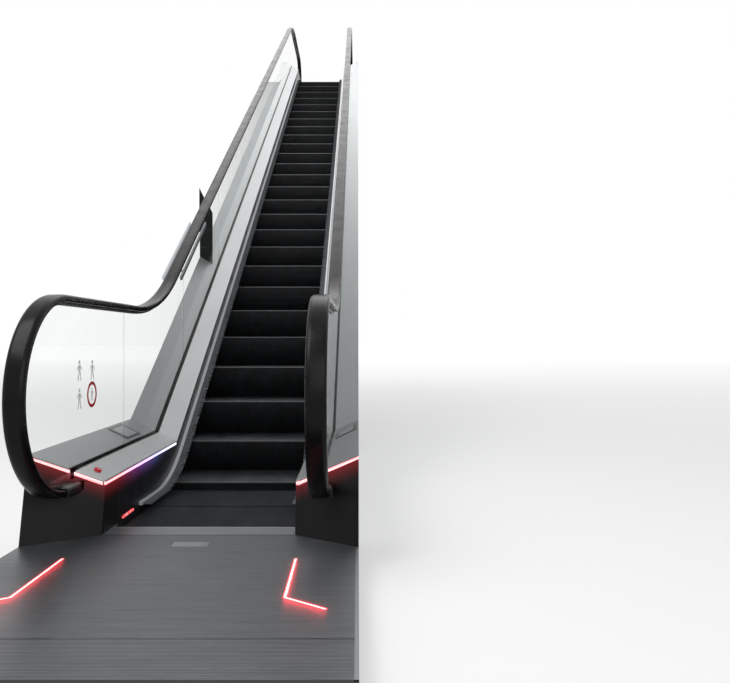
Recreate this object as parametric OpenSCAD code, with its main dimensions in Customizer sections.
// One escalator flight, from the lower finished floor up.
// Y runs up the flight, X across it, and the lower comb line is at y = 0.

/* [Flight] */
// Height from the lower floor to the upper floor
rise = 5450; // [3200:250:6450]
// Slope of the flight in degrees
incline = 32; // [30:1:34]
// Radius of the step path where it bends
curve_r = 1000; // [900:50:1100]
// Length of flat step path from the lower comb to the lower work point
lower_flat = 890; // [860:10:1000]
// Length of flat step path from the upper work point to the upper comb
upper_flat = 1270; // [1200:10:1500]
// Height of the lower floor above the bearing face
floor_z = 90; // [86:2:110]
// Depth of the truss square to the nose line
truss_depth = 900; // [860:20:1000]

/* [Steps] */
// Width of a step
step_w = 800; // [760:20:1000]
// Depth of a tread from its nose to its rear edge
step_depth = 400; // [397:1:401]
// Pitch of the steps along the chain
step_pitch = 406; // [405:1:409]
// Place of the first nose along the step path
first_nose = 86; // [60:1:110]
// Drop from the floor down to the treads at the combs
tread_drop = 35; // [32:1:38]
// Thickness of a tread plate
tread_t = 26; // [22:1:28]
// Thickness of a riser shell
riser_t = 16; // [12:1:20]
// Running gap between the steps and each skirt
skirt_gap = 4; // [3:0.5:6]
// Radius of the step rollers
roller_r = 38; // [34:1:40]

/* [Balustrade] */
// Distance from the step edge to the glass plane
glass_out = 121; // [119:1:140]
// Distance from the step edge to the outer side of the body
body_out = 270; // [262:2:300]
// Thickness of the glass
glass_t = 10; // [8:1:12]
// Height of the deck above the landing floor, at the glass
deck_z = 278; // [272:1:284]
// Height of the deck square above the nose line, at the glass
deck_n = 174; // [170:1:180]
// Fall of the deck towards the steps, as a slope
deck_slope = 0.5; // [0.44:0.01:0.54]
// Thickness of the deck profile
deck_t = 6; // [5:0.5:7]
// Width of the slot between the deck profiles
deck_slot = 26; // [25:0.5:30]
// Going length of one glass panel
panel_l = 1250; // [1000:50:1500]
// Thickness of a skirt panel
skirt_t = 6; // [4:0.5:8]

/* [Handrail] */
// Width of the handrail
rail_w = 78; // [74:2:84]
// Thickness of the handrail section
rail_t = 30; // [28:1:32]
// Height of the handrail above the landing floor
rail_z = 996; // [960:4:1040]
// Height of the handrail square above the nose line
rail_n = 800; // [780:5:840]
// Radius of the handrail bends
rail_bend_r = 1500; // [1200:50:1600]
// Distance from the combs out to the centre of each newel
newel_out = 330; // [316:2:346]
// Depth of the returning handrail below the deck
return_drop = 70; // [69:0.5:73]

/* [Landings] */
// Distance from the lower comb to the front edge of the floor plates
lower_reach = 1481; // [1401:10:1701]
// Distance from the upper comb to the end of the upper floor plates
upper_reach = 1420; // [1350:10:1700]
// Depth of a comb plate
comb_plate_l = 183; // [170:1:200]
// Depth of the access cover at the end of a landing
cover_l = 238; // [200:1:300]
// Thickness of the floor plates
plate_t = 20; // [16:1:24]
// Gap between neighbouring floor plates
plate_gap = 3; // [2:0.5:5]
// Number of teeth on one comb segment
comb_teeth = 22; // [16:1:22]

/* [Hidden] */
$fn = 64;

// Colours of the finishes
glass_tint = [0.75, 0.82, 0.85, 0.4];
dark_satin = "#26282a";
black_skirt = "#141517";
deck_silver = "#c9cbcc";
plate_grey = "#6f747a";
step_grey = "#3a3d40";
lamp_red = "#ff3b3b";
steel = "#8d9196";

// Step path: a point and slope for each station along the nose line
tread_z = floor_z - tread_drop;
slope_t = tan(incline);
work_y0 = lower_flat;
work_y1 = lower_flat + rise / slope_t;
bend_t = curve_r * tan(incline / 2);
bend_s = curve_r * incline * PI / 180;
s_a = work_y0 - bend_t;
s_b = s_a + bend_s;
s_c = s_b + rise / sin(incline) - 2 * bend_t;
s_d = s_c + bend_s;
upper_comb_y = work_y1 + upper_flat;
s_end = s_d + upper_flat - bend_t;
function turned(s) = (s * 180 / PI) / curve_r;
function nose(s) =
    s < s_a ? [s, tread_z, 0]
    : s < s_b ? let (p = turned(s - s_a)) [s_a + curve_r * sin(p), tread_z + curve_r * (1 - cos(p)), p]
    : s < s_c ? let (l = s - s_b) [
        s_a + curve_r * sin(incline) + l * cos(incline),
        tread_z + curve_r * (1 - cos(incline)) + l * sin(incline), incline]
    : s < s_d ? let (p = incline - turned(s - s_c)) [
        work_y1 + bend_t - curve_r * sin(p), tread_z + rise - curve_r * (1 - cos(p)), p]
    : [work_y1 + bend_t + s - s_d, tread_z + rise, 0];
// Point at distance n square above the nose line
function above(s, n) = let (p = nose(s)) [p[0] - n * sin(p[2]), p[1] + n * cos(p[2])];
arc_steps = 12;
function arc_stations(a, b) = [for (i = [0 : arc_steps]) a + (b - a) * i / arc_steps];
function stations(from, to) = [
    from, for (s = concat(arc_stations(s_a, s_b), arc_stations(s_c, s_d))) if (s > from && s < to) s, to];
function reversed(list) = [for (i = [len(list) - 1 : -1 : 0]) list[i]];

// Straight-sided lines of the balustrade, with one sharp bend at each landing.
// z is the height above the landing floor and n the distance square above the nose line.
function low_kink(z, n) = work_y0 + (floor_z + z - tread_z - n / cos(incline)) / slope_t;
function high_kink(z, n) = low_kink(z, n) + rise / slope_t;
function kinked(z, n, y0, y1) = [
    [y0, floor_z + z], [low_kink(z, n), floor_z + z],
    [high_kink(z, n), floor_z + rise + z], [y1, floor_z + rise + z]];

// Places across the flight
half_step = step_w / 2;
skirt_x = half_step + skirt_gap;
inner_x = skirt_x + skirt_t;
glass_x = half_step + glass_out;
body_x = half_step + body_out;
clad_t = 12;
truss_x = body_x - clad_t - 8;
chord = 60;

// Places along the flight and up it
lower_end_y = -lower_reach;
upper_end_y = upper_comb_y + upper_reach;
newel_y0 = -newel_out;
newel_y1 = upper_comb_y + newel_out;
upper_z = floor_z + rise;
base_t = 10;
soffit_t = 12;
end_gap = 0.5;
// Height of the nose line above a point on the incline, square distance n above it
function incline_y(z, n) = work_y0 + (z - tread_z - n / cos(incline)) / slope_t;
soffit_y = incline_y(0, -truss_depth);
soffit_high_y = incline_y(upper_z - truss_depth - soffit_t, -truss_depth);

// Rise of the deck's top face at distance x across, from its height at the glass
function deck_rise(x) = deck_slope * (x - glass_x);
// Top of what carries the inner and the outer edge of the deck, as landing z and incline n
in_z = deck_z + deck_rise(skirt_x) - deck_t;
in_n = deck_n + deck_rise(skirt_x) - deck_t;
out_z = deck_z + deck_rise(body_x - clad_t) - deck_t;
out_n = deck_n + deck_rise(body_x - clad_t) - deck_t;

// Extrudes a Y-Z outline along X, from x0 to x1
module along_x(x0, x1) {
    translate([x0, 0, 0]) rotate([90, 0, 90]) linear_extrude(x1 - x0) children();
}
// Places its children on the right side, or mirrored on the left
module on_side(side) {
    mirror([side < 0 ? 1 : 0, 0, 0]) children();
}
module on_both_sides() {
    for (side = [-1, 1]) on_side(side) children();
}
// Turns a lower landing piece round to the upper landing
module at_upper_comb() {
    translate([0, upper_comb_y, rise]) mirror([0, 1, 0]) children();
}
module nose_band(from, to, low, high) {
    at = stations(from, to);
    polygon(concat([for (s = at) above(s, low)], reversed([for (s = at) above(s, high)])));
}
module kinked_band(z0, n0, z1, n1, y0, y1) {
    polygon(concat(kinked(z0, n0, y0, y1), reversed(kinked(z1, n1, y0, y1))));
}

// Landings: base frame, floor plates and their lights

base_rail = 50;
module floor_plate_at(y0, y1) {
    translate([-body_x, y0, floor_z - plate_t]) cube([2 * body_x, y1 - y0, plate_t]);
}
module lower_base_frame() {
    rail_h = floor_z - plate_t - base_t;
    color(steel) {
        translate([-truss_x, lower_end_y, 0]) cube([2 * truss_x, soffit_y - lower_end_y, base_t]);
        on_both_sides() translate([truss_x - base_rail, lower_end_y, base_t - 1])
            cube([base_rail, lower_reach - end_gap, rail_h + 1]);
        for (y = [lower_end_y, lower_end_y + cover_l - base_rail / 2, -comb_plate_l - base_rail / 2])
            translate([-truss_x, y, base_t - 1]) cube([2 * truss_x, base_rail, rail_h + 1]);
        translate([-half_step, 0, base_t - 1]) cube([step_w, s_a, tread_z - tread_t - base_t + 1]);
    }
}
module access_cover() {
    floor_plate_at(lower_end_y, lower_end_y + cover_l);
}
module lower_access_cover() {
    color(plate_grey) access_cover();
}
light_w = 12;
light_depth = 8;
light_x = half_step + 35;
light_near_y = -512;
light_far_y = -920;
light_foot = [134, -100];
// One guide light: a leg along Y and a foot that turns outwards, with rounded ends
function light_cap(centre, start) =
    [for (i = [0 : 8]) centre + light_w / 2 * [cos(start + i * 22.5), sin(start + i * 22.5)]];
module guide_light_outline() {
    half = light_w / 2;
    turn = atan2(light_foot[1], light_foot[0]);
    translate([light_x, light_far_y])
        polygon(concat(light_cap([0, light_near_y - light_far_y], 0), [[-half, -half * (1 + sin(turn)) / cos(turn)]],
                       light_cap(light_foot, turn - 90), [[half, half * (1 + sin(turn)) / cos(turn)]]));
}
module lower_floor_plate() {
    color(plate_grey) difference() {
        floor_plate_at(lower_end_y + cover_l + plate_gap, -comb_plate_l - plate_gap);
        on_both_sides() translate([0, 0, floor_z - light_depth])
            linear_extrude(light_depth + 1) guide_light_outline();
    }
}
module floor_guide_lights() {
    color(lamp_red) on_both_sides() translate([0, 0, floor_z - light_depth])
        linear_extrude(light_depth - 1) guide_light_outline();
}
module upper_floor_plate() {
    color(plate_grey) translate([0, upper_comb_y, rise])
        floor_plate_at(comb_plate_l + plate_gap, upper_reach - cover_l - plate_gap);
}
module upper_access_cover() {
    color(plate_grey) translate([0, upper_comb_y, rise]) floor_plate_at(upper_reach - cover_l, upper_reach);
}

// Comb plates and combs: the teeth reach into the grooves of the treads

comb_l = 60;
comb_over = 22;
comb_clear = 1;
comb_count = 4;
comb_segment = step_w / comb_count;
module comb_plate_profile() {
    polygon([[-comb_plate_l, floor_z - plate_t], [-comb_plate_l, floor_z], [-comb_l, floor_z],
             [-comb_l, tread_z + comb_clear + 3], [-comb_plate_l + 30, floor_z - plate_t]]);
}
module comb_profile() {
    foot = tread_z + comb_clear;
    polygon([[-comb_l, foot + 3], [-comb_l, floor_z - 1], [0, foot + 9],
             [comb_over, foot], [-comb_l + 8, foot]]);
}
module comb_plate() {
    along_x(-half_step, half_step) comb_plate_profile();
    on_both_sides() translate([half_step - 1, -comb_plate_l, floor_z - plate_t])
        cube([body_x - half_step + 1, comb_plate_l - end_gap, plate_t]);
}
module comb_segments() {
    tooth_pitch = comb_segment / comb_teeth;
    for (i = [0 : comb_count - 1]) translate([-half_step + i * comb_segment, 0, 0]) difference() {
        along_x(end_gap, comb_segment - end_gap) comb_profile();
        for (j = [1 : comb_teeth - 1]) translate([j * tooth_pitch - tooth_pitch / 4, -14, tread_z])
            cube([tooth_pitch / 2, comb_over + 20, floor_z]);
    }
}
module lower_comb_plate() {
    color(plate_grey) comb_plate();
}
module lower_combs() {
    color(steel) comb_segments();
}
module upper_comb_plate() {
    color(plate_grey) at_upper_comb() comb_plate();
}
module upper_combs() {
    color(steel) at_upper_comb() comb_segments();
}

// Newel housings: leaning, skewed front plate that the handrail runs into, and two walls.
// The front plate is drawn in its own plane: u runs outwards along its foot and w up its face.

front_in_y = -186;
front_out_y = -362;
front_lean = atan(65 / 353);
housing_t = 12;
light_h = 14;
foot_run = [body_x - skirt_x, front_out_y - front_in_y];
foot_l = norm(foot_run);
foot_turn = atan2(foot_run[1], foot_run[0]);
// Distance up the front face to the line gap below the deck's top face
function face_w(u, gap) =
    (deck_z - gap + deck_slope * (skirt_x - glass_x + u * cos(foot_turn)))
    / (cos(front_lean) + deck_slope * sin(front_lean) * sin(foot_turn));
// Distance along the foot to the vertical plane at distance x, at height w up the face
function face_u(x, w) = (x - skirt_x + w * sin(front_lean) * sin(foot_turn)) / cos(foot_turn);
module on_front_face(back, t) {
    intersection() {
        translate([skirt_x, front_in_y, floor_z]) rotate([0, 0, foot_turn]) rotate([-front_lean, 0, 0])
            translate([0, back + t, 0]) rotate([90, 0, 0]) linear_extrude(t) children();
        translate([skirt_x, front_out_y, floor_z]) cube([body_x - skirt_x, -front_out_y, deck_z * 2]);
    }
}
// Face area between two heights below the deck and two distances across
module face_area(x0, x1, low_gap, high_gap) {
    h = deck_z;
    function corner(x, gap) = let (w = face_w(face_u(x, h), gap)) [face_u(x, w), w];
    polygon(concat(low_gap < 0 ? [[face_u(x0, 0), 0]] : [corner(x0, low_gap)], [corner(x0, high_gap)],
                   [corner(x1, high_gap)], low_gap < 0 ? [[face_u(x1, 0), 0]] : [corner(x1, low_gap)]));
}
inlet_gap = 5;
slit_half = 8;
slit_drop = 40;
module newel_housing() {
    top = deck_t + light_h;
    difference() {
        on_front_face(0, housing_t) face_area(skirt_x + 0.1, body_x - 0.1, -1, top);
        translate([glass_x - rail_w / 2 - inlet_gap, front_out_y,
                   floor_z + deck_z - return_drop - rail_t / 2 - inlet_gap])
            cube([rail_w + 2 * inlet_gap, -front_out_y, rail_t + 2 * inlet_gap]);
        translate([glass_x - slit_half, front_out_y, floor_z + deck_z - slit_drop])
            cube([2 * slit_half, -front_out_y, deck_z]);
    }
    for (wall = [[skirt_x, front_in_y, in_z - light_h], [body_x - housing_t, front_out_y, out_z - light_h]])
        along_x(wall[0], wall[0] + housing_t)
            polygon([[wall[1] + housing_t * 1.2, floor_z],
                     [wall[1] + housing_t * 1.2 + wall[2] * tan(front_lean) / cos(foot_turn), floor_z + wall[2]],
                     [-end_gap, floor_z + wall[2]], [-end_gap, floor_z]]);
}
module lower_newel_housing(side) {
    color(dark_satin) on_side(side) newel_housing();
}
module upper_newel_housing(side) {
    color(dark_satin) at_upper_comb() on_side(side) newel_housing();
}
// Light strip under the deck edge: two lengths on the front face and one along the inner edge
light_t = 8;
module newel_light(side) {
    color(lamp_red) on_side(side) {
        for (span = [[skirt_x + light_t + 1, glass_x - slit_half - 1], [glass_x + slit_half + 1, body_x - 2]])
            on_front_face(2, light_t) face_area(span[0], span[1], deck_t + light_h, deck_t + 0.7);
        y0 = front_in_y + (in_z - light_h) * tan(front_lean) + 12;
        along_x(skirt_x, skirt_x + light_t)
            polygon([[y0, floor_z + in_z - light_h], [low_kink(in_z, in_n) - 20, floor_z + in_z - light_h],
                     [low_kink(in_z, in_n) - 20, floor_z + in_z],
                     [y0 + light_h * tan(front_lean), floor_z + in_z]]);
    }
}

// Decks: sloping profiles either side of the slot that holds the glass

slot_half = deck_slot / 2;
// Cross-section of a deck between two distances across, below its top face
module deck_section(x0, x1, t) {
    polygon([[x0, deck_rise(x0)], [x1, deck_rise(x1)], [x1, deck_rise(x1) - t], [x0, deck_rise(x0) - t]]);
}
// One straight run of a section from a Y-Z point, in the direction of the angle
module section_run(start, angle, l) {
    translate([0, start[0], start[1]]) rotate([angle, 0, 0]) translate([0, l, 0]) rotate([90, 0, 0])
        linear_extrude(l) children();
}
deck_low = [low_kink(deck_z, deck_n), floor_z + deck_z];
deck_high = [high_kink(deck_z, deck_n), upper_z + deck_z];
// Y-Z area that belongs to one deck, between the mitre lines at its bends
mitre_reach = 400;
mitre = mitre_reach * tan(incline / 2);
module mitred(part) {
    low_ends = [deck_low + [mitre, -mitre_reach], deck_low + [-mitre, mitre_reach]];
    high_ends = [deck_high + [mitre, -mitre_reach], deck_high + [-mitre, mitre_reach]];
    outer = part == 0 ? [[front_out_y - 200, low_ends[1][1]], [front_out_y - 200, low_ends[0][1]]]
        : [[newel_y1 + 600, high_ends[1][1]], [newel_y1 + 600, high_ends[0][1]]];
    along_x(skirt_x - 1, body_x + 1)
        polygon(part == 1 ? concat(low_ends, reversed(high_ends))
                          : concat(part == 0 ? low_ends : high_ends, outer));
}
front_reach = 2500;
module behind_front() {
    translate([skirt_x, front_in_y, floor_z]) rotate([0, 0, foot_turn]) rotate([-front_lean, 0, 0])
        translate([-front_reach / 3, -4, -deck_z]) cube([front_reach, front_reach, 4 * deck_z]);
}
deck_spans = [[skirt_x, glass_x - slot_half], [glass_x + slot_half, body_x]];
module landing_deck() {
    for (span = deck_spans) intersection() {
        mitred(0);
        behind_front();
        section_run([front_out_y - 100, deck_low[1]], 0, deck_low[0] - front_out_y + 400)
            deck_section(span[0], span[1], deck_t);
    }
}
module lower_deck(side) {
    color(deck_silver) on_side(side) landing_deck();
}
module incline_deck(side) {
    run = norm(deck_high - deck_low);
    back = 200 * [cos(incline), sin(incline)];
    color(deck_silver) on_side(side) for (span = deck_spans) intersection() {
        mitred(1);
        section_run(deck_low - back, incline, run + 400) deck_section(span[0], span[1], deck_t);
    }
}
module upper_deck(side) {
    color(deck_silver) on_side(side) for (span = deck_spans) intersection() {
        mitred(2);
        at_upper_comb() behind_front();
        section_run([deck_high[0] - 300, deck_high[1]], 0, newel_y1 + 500 - deck_high[0])
            deck_section(span[0], span[1], deck_t);
    }
}

// Handrail and its guide: a closed loop and an open one round the glass

rail_c = rail_t / 2;
top_z = rail_z - rail_c;
top_n = rail_n - rail_c;
back_z = deck_z - return_drop;
back_n = deck_n - return_drop;
newel_r = (top_z - back_z) / 2;
newel_z = floor_z + (top_z + back_z) / 2;
return_bend_r = 250;
// Lap of each straight run into the bends beside it, and its slightly fuller section
lap = 0.5;
run_scale = 1.004;
module turn(centre, r, a0, a1) {
    translate([glass_x, centre[0], centre[1]]) rotate([90, 0, 90]) rotate([0, 0, a0])
        rotate_extrude(angle = a1 - a0) translate([r, 0]) children();
}
module run_between(p, q, out) {
    l = norm(q - p) + 2 * lap;
    translate([glass_x, p[0], p[1]]) rotate([90, 0, 90]) rotate([0, 0, out]) translate([0, l - lap, 0])
        rotate([90, 0, 0]) linear_extrude(l) scale(run_scale) children();
}
// Ends of the bends round a kink: on the flat and on the incline
function flat_end(k, way, r) = [k[0] + way * r * tan(incline / 2), k[1]];
function slope_end(k, way, r) = k + way * r * tan(incline / 2) * [cos(incline), sin(incline)];
module top_loop() {
    k = kinked(top_z, top_n, newel_y0, newel_y1);
    r = rail_bend_r;
    turn([newel_y0, newel_z], newel_r, 90, 270) children();
    run_between(flat_end(k[1], -1, r), k[0], 90) children();
    turn(flat_end(k[1], -1, r) + [0, r], r, 270, 270 + incline) mirror([1, 0]) children();
    run_between(slope_end(k[2], -1, r), slope_end(k[1], 1, r), 90 + incline) children();
    turn(flat_end(k[2], 1, r) - [0, r], r, 90, 90 + incline) children();
    run_between(k[3], flat_end(k[2], 1, r), 90) children();
    turn([newel_y1, newel_z + rise], newel_r, -90, 90) children();
}
module return_loop() {
    k = kinked(back_z, back_n, newel_y0, newel_y1);
    r = return_bend_r;
    run_between(k[0], flat_end(k[1], -1, r), -90) children();
    turn(flat_end(k[1], -1, r) + [0, r], r, -90, -90 + incline) children();
    run_between(slope_end(k[1], 1, r), slope_end(k[2], -1, r), -90 + incline) children();
    turn(flat_end(k[2], 1, r) - [0, r], r, 90, 90 + incline) mirror([1, 0]) children();
    run_between(flat_end(k[2], 1, r), k[3], -90) children();
}
// Handrail section: outwards from the loop along X, across along Y
lip = 9;
mouth = 30;
rail_flange = 14;
half_rail = [
    [rail_c, rail_w / 2 - 16], [rail_c - 3, rail_w / 2 - 7], [rail_c - 8, rail_w / 2 - 1.5],
    [rail_c - 14, rail_w / 2], [-rail_c + 7, rail_w / 2], [-rail_c + 2, rail_w / 2 - 2],
    [-rail_c, rail_w / 2 - 6], [-rail_c, mouth / 2], [-rail_c + lip, mouth / 2],
    [-rail_c + lip, rail_w / 2 - rail_flange], [rail_c - 10, rail_w / 2 - rail_flange]];
module rail_section() {
    polygon(concat(half_rail, reversed([for (p = half_rail) [p[0], -p[1]]])));
}
// Guide profile: a head inside the handrail and a channel that grips the glass edge
guide_gap = 0.5;
guide_grip = 12;
guide_neck = 6;
half_guide = [
    [rail_c - 10 - guide_gap, rail_w / 2 - rail_flange - 2],
    [-rail_c + lip + guide_gap, rail_w / 2 - rail_flange - 2],
    [-rail_c + lip + guide_gap, mouth / 2 - 2], [-rail_c - guide_grip, mouth / 2 - 2],
    [-rail_c - guide_grip, glass_t / 2], [-rail_c - guide_neck, glass_t / 2]];
module guide_section() {
    polygon(concat(half_guide, reversed([for (p = half_guide) [p[0], -p[1]]])));
}
module handrail(side) {
    color("#101112") on_side(side) {
        top_loop() rail_section();
        return_loop() rail_section();
    }
}
module handrail_guide(side) {
    color(steel) on_side(side) top_loop() guide_section();
}

// Glass panels, cut from one outline that follows the guide, and the clamp that holds them

glass_seat = 30;
glass_drop = rail_c + guide_neck + 0.4;
bend_steps = 16;
// Points on a bend of the glass edge, round a centre
function glass_bend(c, r, a0, a1) =
    [for (i = [0 : bend_steps]) let (a = a0 + (a1 - a0) * i / bend_steps) c + r * [cos(a), sin(a)]];
module glass_outline() {
    k = kinked(top_z, top_n, newel_y0, newel_y1);
    r = rail_bend_r;
    low = glass_bend(flat_end(k[1], -1, r) + [0, r], r + glass_drop, 270, 270 + incline);
    high = glass_bend(flat_end(k[2], 1, r) - [0, r], r - glass_drop, 90 + incline, 90);
    polygon(concat([k[0] - [0, glass_drop]], low, high, [k[3] - [0, glass_drop]],
                   reversed(kinked(deck_z - glass_seat, deck_n - glass_seat, newel_y0, newel_y1))));
    e = newel_r - glass_drop;
    for (c = [[newel_y0, newel_z], [newel_y1, newel_z + rise]]) intersection() {
        translate(c) circle(e, $fn = 128);
        translate([c[0] - e, c[1] - newel_z + floor_z + deck_z - glass_seat]) square([2 * e, 2 * e]);
    }
}
first_joint = 450;
panel_count = round((upper_comb_y - 2 * first_joint) / panel_l);
panel_going = (upper_comb_y - 2 * first_joint) / panel_count;
module glass(side) {
    joints = concat([newel_y0 - 1000], [for (i = [0 : panel_count]) first_joint + i * panel_going],
                    [newel_y1 + 1000]);
    color(glass_tint) on_side(side) for (i = [0 : len(joints) - 2])
        along_x(glass_x - glass_t / 2, glass_x + glass_t / 2) intersection() {
            glass_outline();
            translate([joints[i] + 1.5, 0]) square([joints[i + 1] - joints[i] - 3, upper_z + 2000]);
        }
}
clamp_t = 7;
clamp_floor = 12;
clamp_drop = glass_seat + clamp_floor;
module glass_clamp(side) {
    half = glass_t / 2;
    color(steel) on_side(side) {
        for (x = [glass_x - half - clamp_t, glass_x + half])
            along_x(x, x + clamp_t) kinked_band(deck_z - clamp_drop, deck_n - clamp_drop, deck_z - deck_t,
                                                deck_n - deck_t, -150, upper_comb_y + 150);
        along_x(glass_x - half - 1, glass_x + half + 1)
            kinked_band(deck_z - clamp_drop, deck_n - clamp_drop, deck_z - glass_seat, deck_n - glass_seat,
                        -150, upper_comb_y + 150);
    }
}
// Brackets from the truss up to the clamp, round the returning handrail that rolls on them
bracket_t = 8;
bracket_w = 60;
bracket_pitch = 1100;
bracket_x = glass_x + rail_w / 2 + 5;
return_roller_r = 12;
incline_stations = [for (s = [s_b + 300 : bracket_pitch : s_c - 200]) s];
module at_incline(s) {
    p = nose(s);
    translate([0, p[0], p[1]]) rotate([incline, 0, 0]) translate([0, bracket_w / 2, 0]) rotate([90, 0, 0])
        children();
}
chord_top = 10;
module balustrade_brackets() {
    high = deck_n - clamp_drop;
    color(steel) on_both_sides() for (s = incline_stations) at_incline(s) linear_extrude(bracket_w)
        polygon([[glass_x - 12, high], [bracket_x + bracket_t, high],
                 [bracket_x + bracket_t, chord_top + bracket_t],
                 [truss_x - 4, chord_top + bracket_t], [truss_x - 4, chord_top], [bracket_x, chord_top],
                 [bracket_x, high - 5], [glass_x - 12, high - 5]]);
}
module handrail_return_rollers() {
    color("#2b2b2b") on_both_sides() for (s = incline_stations)
        at_incline(s) translate([glass_x - 30, back_n - rail_c - return_roller_r, bracket_w / 2])
            rotate([0, 90, 0]) cylinder(r = return_roller_r, h = bracket_x - glass_x + 30, $fn = 32);
}

// Skirts and their brushes

skirt_low = 150;
module skirt(side) {
    light_end = low_kink(in_z, in_n) - 20;
    light_start = high_kink(in_z, in_n) + 20;
    over = kinked(in_z, in_n, 0, upper_comb_y);
    landing = in_z - light_h;
    top = [[end_gap, floor_z + landing], [light_end, floor_z + landing], [light_end, over[1][1]], over[1],
           over[2], [light_start, over[2][1]], [light_start, upper_z + landing],
           [upper_comb_y - end_gap, upper_z + landing]];
    under = [for (s = stations(s_a, s_d)) above(s, -skirt_low)];
    color(black_skirt) on_side(side) along_x(skirt_x, skirt_x + skirt_t) intersection() {
        polygon(concat(top, [[upper_comb_y - end_gap, upper_z - skirt_low]], reversed(under),
                       [[end_gap, floor_z - skirt_low]]));
        translate([0, base_t]) square([upper_comb_y, upper_z + 2000]);
    }
}
brush_n = 22;
brush_start = 330;
brush_lift = 20;
carrier_w = 17;
carrier_h = 18;
brush_l = 44;
// Extra height of the brush at station s: it rises a little towards each comb
function lift(s) = brush_lift * (s < s_b ? (s_b - s) / (s_b - brush_start)
    : s > s_c ? (s - s_c) / (s_end - brush_start - s_c) : 0);
module brush_band(low, high) {
    at = stations(brush_start, s_end - brush_start);
    polygon(concat([for (s = at) above(s, brush_n + low + lift(s))],
                   reversed([for (s = at) above(s, brush_n + high + lift(s))])));
}
module brush_carriers() {
    color(deck_silver) on_both_sides() along_x(skirt_x - carrier_w, skirt_x) brush_band(0, carrier_h);
}
module skirt_brushes() {
    color("#5a5d60") on_both_sides()
        along_x(skirt_x - carrier_w - brush_l, skirt_x - carrier_w) brush_band(2, 14);
}

// Steps: one casting each, with a level tread, a curved riser, two cheeks and four rollers

last_step = floor((s_end - first_nose) / step_pitch);
function nose_of(k) = nose(first_nose + k * step_pitch);
riser_sweep = incline + 4;
trail = [126, -205];
axle_back = 80;
// The axle rollers run on a track level with that of the trailing rollers
axle = [step_depth - axle_back, trail[1] + (step_depth - axle_back - trail[0]) * slope_t];
cheek_x = half_step - 62;
cheek_t = 14;
roller_w = 22;
module step_riser_outline() {
    intersection() {
        difference() {
            translate([step_depth, 0]) circle(step_depth, $fn = 180);
            translate([step_depth, 0]) circle(step_depth - riser_t, $fn = 180);
        }
        polygon([[step_depth, 0], [-50, 0], [-50, -330],
                 [step_depth - 560 * cos(riser_sweep), -560 * sin(riser_sweep)]]);
    }
}
module step_cheek_outline() {
    polygon([[30, -tread_t / 2], [step_depth - 20, -tread_t / 2], [step_depth - 20, axle[1] - 10],
             [axle[0] - 10, axle[1] - 20], [trail[0] + 16, trail[1] - 14], [trail[0] - 16, trail[1] - 10],
             [60, -130]]);
}
module step_solid() {
    along_x(-half_step, half_step) {
        translate([0, -tread_t]) square([step_depth, tread_t]);
        step_riser_outline();
    }
    for (x = [-cheek_x, cheek_x - cheek_t]) along_x(x, x + cheek_t) step_cheek_outline();
}
// Steps by number; what would lie under the ground of the lower landing is left out
module steps(from, to) {
    color(step_grey) for (k = [from : to]) let (p = nose_of(k)) {
        if (p[1] + trail[1] - roller_r > base_t + track_t)
            translate([0, p[0], p[1]]) step_solid();
        else
            intersection() {
                translate([0, p[0], p[1]]) step_solid();
                translate([-half_step, 0, p[1] < tread_z + 1 ? tread_z - tread_t : base_t])
                    cube([step_w, upper_comb_y, rise]);
            }
    }
}
lower_steps = ceil((s_b - first_nose) / step_pitch);
upper_steps = floor((s_c - first_nose) / step_pitch);
module steps_lower() {
    steps(0, lower_steps);
}
module steps_incline() {
    steps(lower_steps + 1, upper_steps);
}
module steps_upper() {
    steps(upper_steps + 1, last_step);
}
axle_x = cheek_x;
trail_x = cheek_x - cheek_t - roller_w;
module step_rollers() {
    color("#2b2b2b") on_both_sides() for (k = [0 : last_step]) let (p = nose_of(k))
        for (spot = [[axle_x, axle], [trail_x, trail]])
            if (p[1] + spot[1][1] - roller_r > base_t + track_t)
                translate([spot[0], p[0] + spot[1][0], p[1] + spot[1][1]])
                    rotate([0, 90, 0]) cylinder(r = roller_r, h = roller_w, $fn = 32);
}
track_t = 12;
// Track under rollers whose centres keep one offset from every nose
module track_outline(spot) {
    function under(depth) = [for (s = stations(0, s_end)) let (p = nose(s))
        [p[0] + spot[0] + depth * sin(p[2]), p[1] + spot[1] - depth * cos(p[2])]];
    intersection() {
        polygon(concat(under(roller_r), reversed(under(roller_r + track_t))));
        translate([0, base_t]) square([upper_comb_y + comb_plate_l, rise + 2000]);
    }
}
module step_tracks() {
    color(steel) on_both_sides() {
        along_x(axle_x, skirt_x - 2) track_outline(axle);
        along_x(trail_x - 6, trail_x + roller_w) track_outline(trail);
    }
}

// Truss: chords, posts and diagonals of each side, and the members across

incline_l = rise / sin(incline);
bay = 1100;
top_chord_n = chord / 2 - chord_top;
low_chord_n = truss_depth - soffit_t * cos(incline) - chord / 2;
diagonal = 40;
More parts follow.
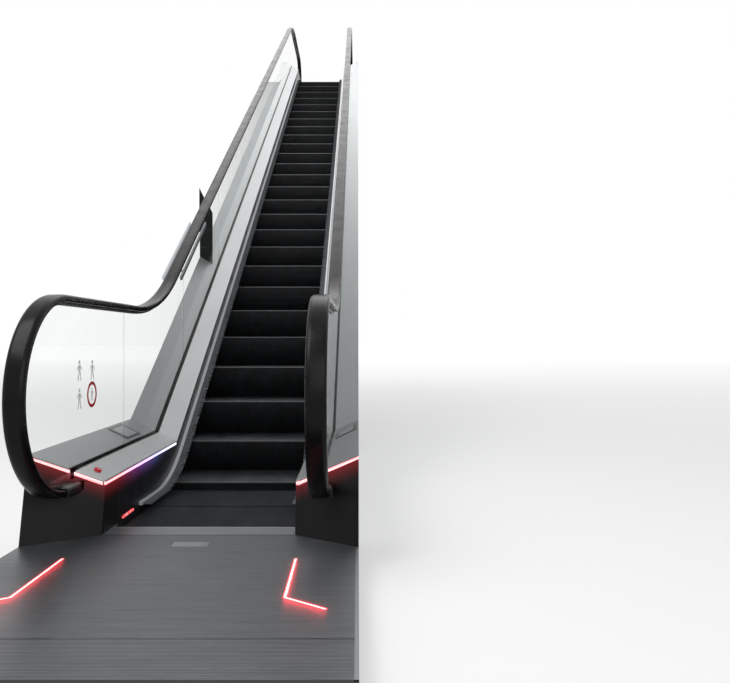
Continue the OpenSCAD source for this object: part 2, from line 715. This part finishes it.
// Y-Z point at distance l up the incline and n below the nose line
function truss_at(l, n) = [
    work_y0 + l * cos(incline) + n * sin(incline), tread_z + l * sin(incline) - n * cos(incline)];
module member(p, q, w) {
    d = q - p;
    translate(p) rotate(atan2(d[1], d[0])) translate([0, -w / 2]) square([norm(d), w]);
}
module truss_outline() {
    top_z0 = upper_z - plate_t - chord;
    end_y = upper_comb_y + 140;
    intersection() {
        union() {
            member(truss_at(0, top_chord_n), truss_at(incline_l, top_chord_n), chord);
            member(truss_at(-400, low_chord_n), truss_at(incline_l - 200, low_chord_n), chord);
            for (l = [bay : bay : incline_l - bay / 2])
                member(truss_at(l, top_chord_n), truss_at(l, low_chord_n), chord);
            for (l = [bay : bay : incline_l - 3 / 2 * bay])
                member(truss_at(l, low_chord_n), truss_at(l + bay, top_chord_n), diagonal);
            translate([work_y1 - 120, top_z0]) square([upper_end_y - work_y1 + 120, chord]);
            translate([soffit_high_y - 10, upper_z - truss_depth])
                square([end_y + chord - soffit_high_y + 10, chord]);
            translate([end_y, upper_z - truss_depth]) square([chord, truss_depth - plate_t]);
            translate([work_y0, base_t]) square([chord, floor_z]);
        }
        translate([lower_end_y, base_t]) square([upper_end_y - lower_end_y, rise + 2000]);
    }
}
module truss(side) {
    color(steel) on_side(side) along_x(truss_x - chord, truss_x) truss_outline();
}
// Members across the truss, and the bearers that carry the step tracks
module truss_cross_members() {
    across = truss_x - chord;
    color(steel) for (l = [2 * bay : bay : incline_l - bay / 2]) {
        p = truss_at(l, low_chord_n);
        translate([-across, p[0], p[1]]) rotate([incline, 0, 0]) translate([0, -chord / 2, -chord / 2])
            cube([2 * across, chord, chord]);
        q = truss_at(l, track_under_n + diagonal / 2);
        translate([-across, q[0], q[1]]) rotate([incline, 0, 0]) translate([0, -diagonal / 2, -diagonal / 2])
            cube([2 * across, diagonal, diagonal]);
    }
}
// Depth of the lower track's underside, square below the nose line
track_under_n = axle[0] * sin(incline) - axle[1] * cos(incline) + roller_r + track_t;

// Cladding and the upper bearing

module side_outline() {
    end_y = upper_comb_y + 222;
    under_plate = upper_z - plate_t - 0.3;
    polygon(concat(kinked(out_z, out_n, end_gap, upper_comb_y - end_gap),
                   [[upper_comb_y - end_gap, under_plate], [end_y, under_plate],
                    [end_y, upper_z - truss_depth - soffit_t],
                    [soffit_high_y, upper_z - truss_depth - soffit_t], [soffit_y, 0], [end_gap, 0]]));
}
panel_joint = 3;
module side_cladding(side) {
    going = (deck_high[0] - deck_low[0]) / 3;
    joints = concat([-500], [for (i = [0 : 3]) deck_low[0] + i * going], [upper_end_y]);
    color(deck_silver) on_side(side) for (i = [0 : len(joints) - 2])
        along_x(body_x - clad_t, body_x) intersection() {
            side_outline();
            translate([joints[i] + panel_joint / 2, 0])
                square([joints[i + 1] - joints[i] - panel_joint, upper_z + 2000]);
        }
}
module soffit_cladding() {
    line = [[soffit_y, 0], [soffit_high_y, upper_z - truss_depth - soffit_t],
            [upper_comb_y + 200, upper_z - truss_depth - soffit_t]];
    color(deck_silver) along_x(-body_x + clad_t, body_x - clad_t)
        polygon(concat(line, reversed([for (p = line) p + [0, soffit_t]])));
}
bearing_h = 140;
module upper_bearing_frame() {
    y0 = upper_comb_y + 210;
    z0 = upper_z - plate_t - chord - bearing_h;
    color(steel) difference() {
        translate([-truss_x, y0, z0]) cube([2 * truss_x, upper_end_y - y0, bearing_h]);
        translate([-truss_x + chord, y0 + chord, z0 + base_t])
            cube([2 * (truss_x - chord), upper_end_y - y0 - 2 * chord, bearing_h]);
    }
}

// Small pieces on the decks, the housings and the handrail

module comb_lights() {
    color(lamp_red) on_both_sides() translate([skirt_x - 4, 80, floor_z + 5]) cube([4, 155, 10]);
}
module stop_buttons() {
    x = (skirt_x + glass_x) / 2;
    color(lamp_red) on_both_sides() translate([x, -70, floor_z + deck_z + deck_rise(x)])
        rotate([0, -atan(deck_slope), 0]) cylinder(r = 16, h = 9);
}
sign_t = 3;
module deck_sign_panels() {
    color(black_skirt) on_both_sides() section_run([610, deck_low[1] + sign_t], 0, 220)
        deck_section(glass_x + slot_half + 14, body_x - 14, sign_t);
}
restriction_y = 2900;
restriction_t = 8;
restriction_h = [430, 640];
module access_restriction_panel() {
    x0 = glass_x + rail_w / 2 + 4;
    back = restriction_y + restriction_t;
    function foot(x) = tread_z + (back - work_y0) * slope_t + (deck_n + deck_rise(x)) / cos(incline) + 0.2;
    color(black_skirt) translate([0, back, 0]) rotate([90, 0, 0]) linear_extrude(restriction_t)
        polygon([[-body_x, foot(body_x)], [-x0, foot(x0)], [-x0, foot(x0) + restriction_h[0]],
                 [-body_x, foot(x0) + restriction_h[1]]]);
}
// Light bars either side of the handrail, on small arms from its guide
bar_t = 12;
bar_gap = 12;
arm_w = 12;
arm_in = 120;
bar_ends = [1986, 2870];
module handrail_light_bars() {
    edge = rail_w / 2 + bar_gap;
    low = rail_n - rail_t - 10;
    color("white") on_side(-1) for (way = [-1, 1]) translate([glass_x, 0, 0]) mirror([way < 0 ? 1 : 0, 0, 0]) {
        along_x(edge, edge + bar_t) nose_band(bar_ends[0], bar_ends[1], low, low + 26);
        for (s = [bar_ends[0] + arm_in, bar_ends[1] - arm_in])
            along_x(mouth / 2 - 2, edge + 1) nose_band(s, s + arm_w, low, low + 6);
    }
}

lower_base_frame();
lower_access_cover();
lower_floor_plate();
lower_comb_plate();
lower_combs();
floor_guide_lights();
comb_lights();
lower_newel_housing(-1);  // lower_newel_housing_left
lower_newel_housing(1);  // lower_newel_housing_right
newel_light(-1);  // newel_light_left
newel_light(1);  // newel_light_right
lower_deck(-1);  // lower_deck_left
lower_deck(1);  // lower_deck_right
incline_deck(-1);  // incline_deck_left
incline_deck(1);  // incline_deck_right
upper_deck(-1);  // upper_deck_left
upper_deck(1);  // upper_deck_right
glass(-1);  // glass_left
glass(1);  // glass_right
glass_clamp(-1);  // glass_clamp_left
glass_clamp(1);  // glass_clamp_right
handrail(-1);  // handrail_left
handrail(1);  // handrail_right
handrail_guide(-1);  // handrail_guide_left
handrail_guide(1);  // handrail_guide_right
balustrade_brackets();
handrail_return_rollers();
skirt(-1);  // skirt_left
skirt(1);  // skirt_right
brush_carriers();
skirt_brushes();
steps_lower();
steps_incline();
steps_upper();
step_rollers();
step_tracks();
truss(-1);  // truss_left
truss(1);  // truss_right
truss_cross_members();
side_cladding(-1);  // side_cladding_left
side_cladding(1);  // side_cladding_right
soffit_cladding();
upper_newel_housing(-1);  // upper_newel_housing_left
upper_newel_housing(1);  // upper_newel_housing_right
upper_floor_plate();
upper_access_cover();
upper_comb_plate();
upper_combs();
upper_bearing_frame();
access_restriction_panel();
handrail_light_bars();
stop_buttons();
deck_sign_panels();
